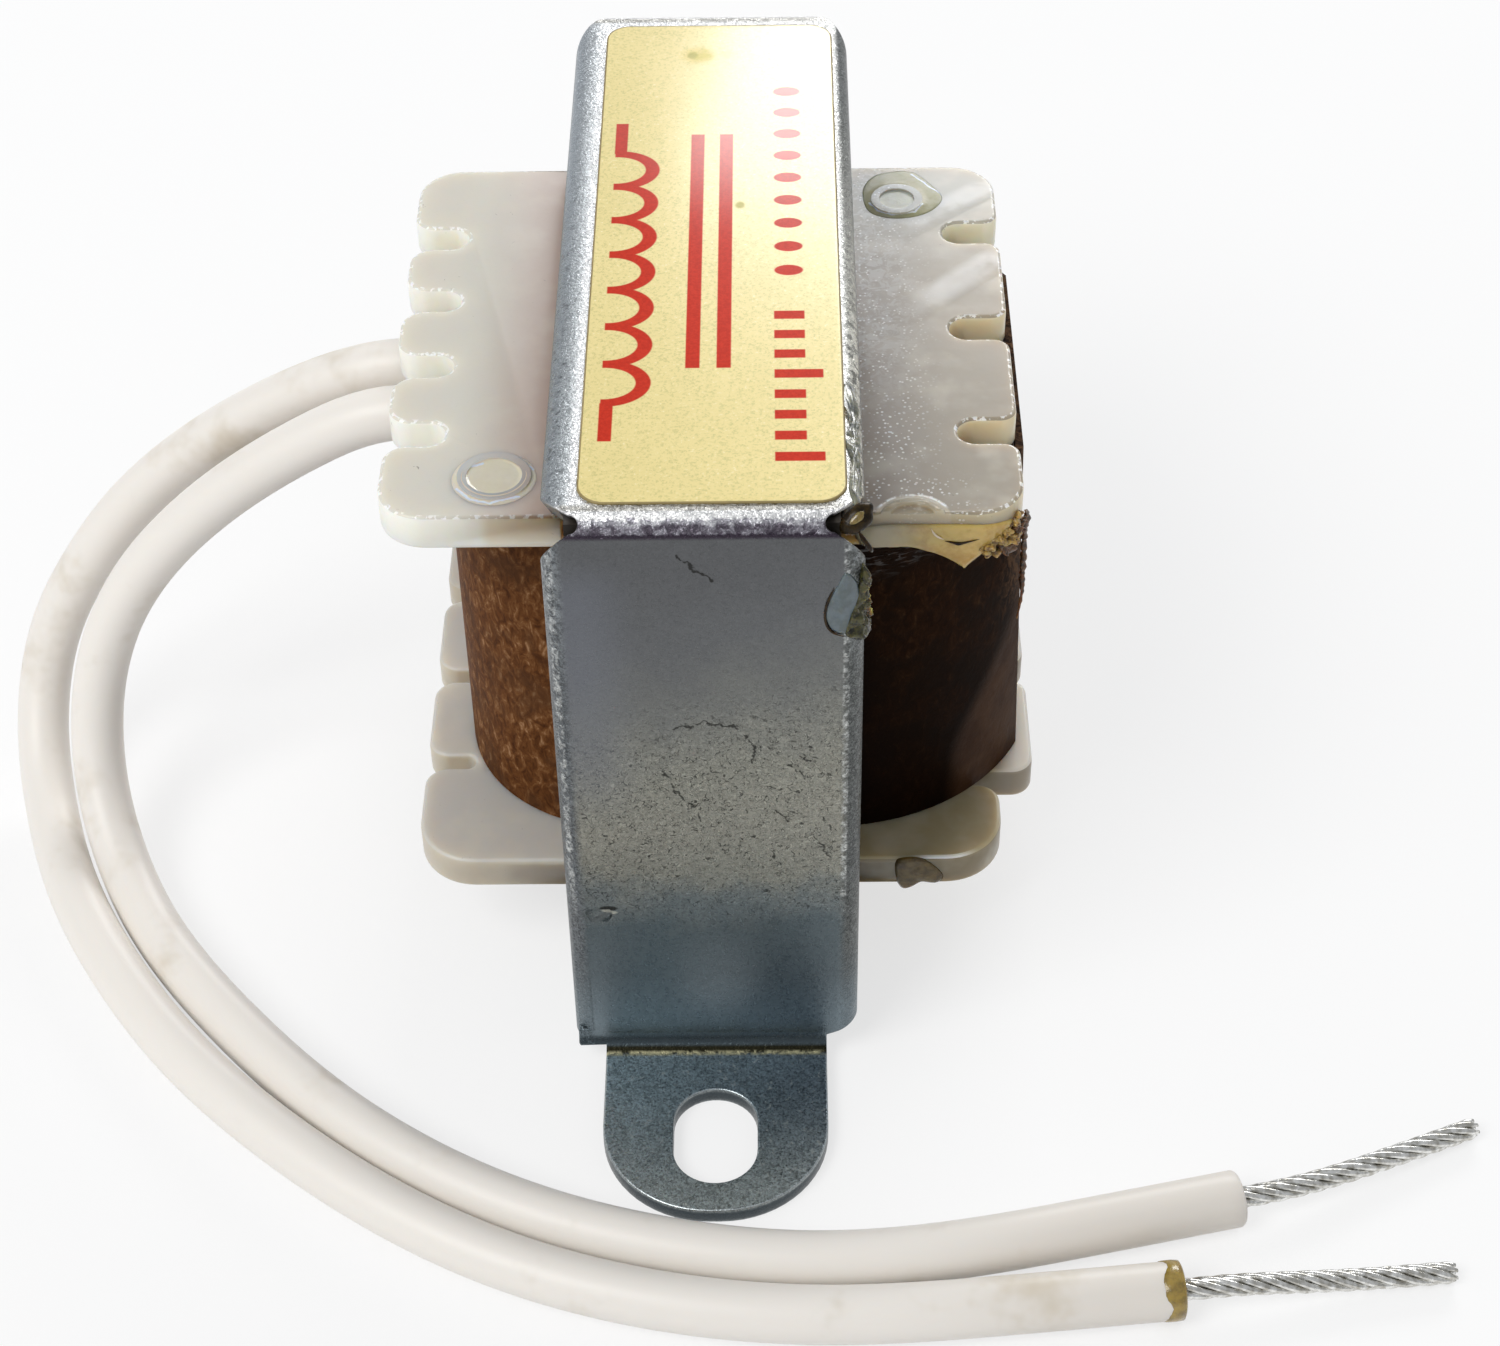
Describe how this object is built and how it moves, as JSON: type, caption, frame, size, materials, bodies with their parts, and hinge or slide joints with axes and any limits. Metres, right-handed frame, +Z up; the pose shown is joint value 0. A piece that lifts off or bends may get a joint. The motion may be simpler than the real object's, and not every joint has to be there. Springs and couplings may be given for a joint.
{
  "type": "filter choke",
  "caption": "Laminated iron-core filter choke in a folded channel bracket with slotted feet, a moulded bobbin, a paper-wrapped coil and insulated leads with stripped ends.",
  "frame": {"origin": "midway between the two mounting slots, in the plane that the feet stand on", "axes": "+X across the bracket, away from the side where the leads come out; +Y from the front foot to the rear foot; +Z up, out of the mounting plane"},
  "size_m": [0.0663, 0.0617, 0.0309],
  "materials": {
    "bracket": "zinc-plated sheet steel, fine grain, bright worn bends",
    "core_steel": "silicon steel laminations under thin varnish",
    "gap_paper": "insulating paper slip",
    "bobbin": "milky nylon, wet with varnish in places",
    "copper": "enamelled copper wire",
    "wrap_paper": "brown kraft paper soaked in varnish",
    "lead_cover": "white PVC",
    "tinned_strand": "twisted and tinned copper strands",
    "label": "matte gold foil paper"
  },
  "bodies": {
    "root": {"bracket": "bracket", "gap_spacer": "gap_paper", "bobbin": "bobbin", "winding": "copper", "coil_wrap": "wrap_paper", "lead_wire_1": "lead_cover", "lead_wire_2": "lead_cover", "lead_conductor_1": "tinned_strand", "lead_conductor_2": "tinned_strand", "label": "label", "e_lamination_01": "core_steel", "e_lamination_02": "core_steel", "e_lamination_03": "core_steel", "e_lamination_04": "core_steel", "e_lamination_05": "core_steel", "e_lamination_06": "core_steel", "e_lamination_07": "core_steel", "e_lamination_08": "core_steel", "e_lamination_09": "core_steel", "e_lamination_10": "core_steel", "e_lamination_11": "core_steel", "e_lamination_12": "core_steel", "e_lamination_13": "core_steel", "e_lamination_14": "core_steel", "e_lamination_15": "core_steel", "e_lamination_16": "core_steel", "e_lamination_17": "core_steel", "e_lamination_18": "core_steel", "e_lamination_19": "core_steel", "e_lamination_20": "core_steel", "e_lamination_21": "core_steel", "i_lamination_01": "core_steel", "i_lamination_02": "core_steel", "i_lamination_03": "core_steel", "i_lamination_04": "core_steel", "i_lamination_05": "core_steel", "i_lamination_06": "core_steel", "i_lamination_07": "core_steel", "i_lamination_08": "core_steel", "i_lamination_09": "core_steel", "i_lamination_10": "core_steel", "i_lamination_11": "core_steel", "i_lamination_12": "core_steel", "i_lamination_13": "core_steel", "i_lamination_14": "core_steel", "i_lamination_15": "core_steel", "i_lamination_16": "core_steel", "i_lamination_17": "core_steel", "i_lamination_18": "core_steel", "i_lamination_19": "core_steel", "i_lamination_20": "core_steel", "i_lamination_21": "core_steel"}
  },
  "joints": []
}
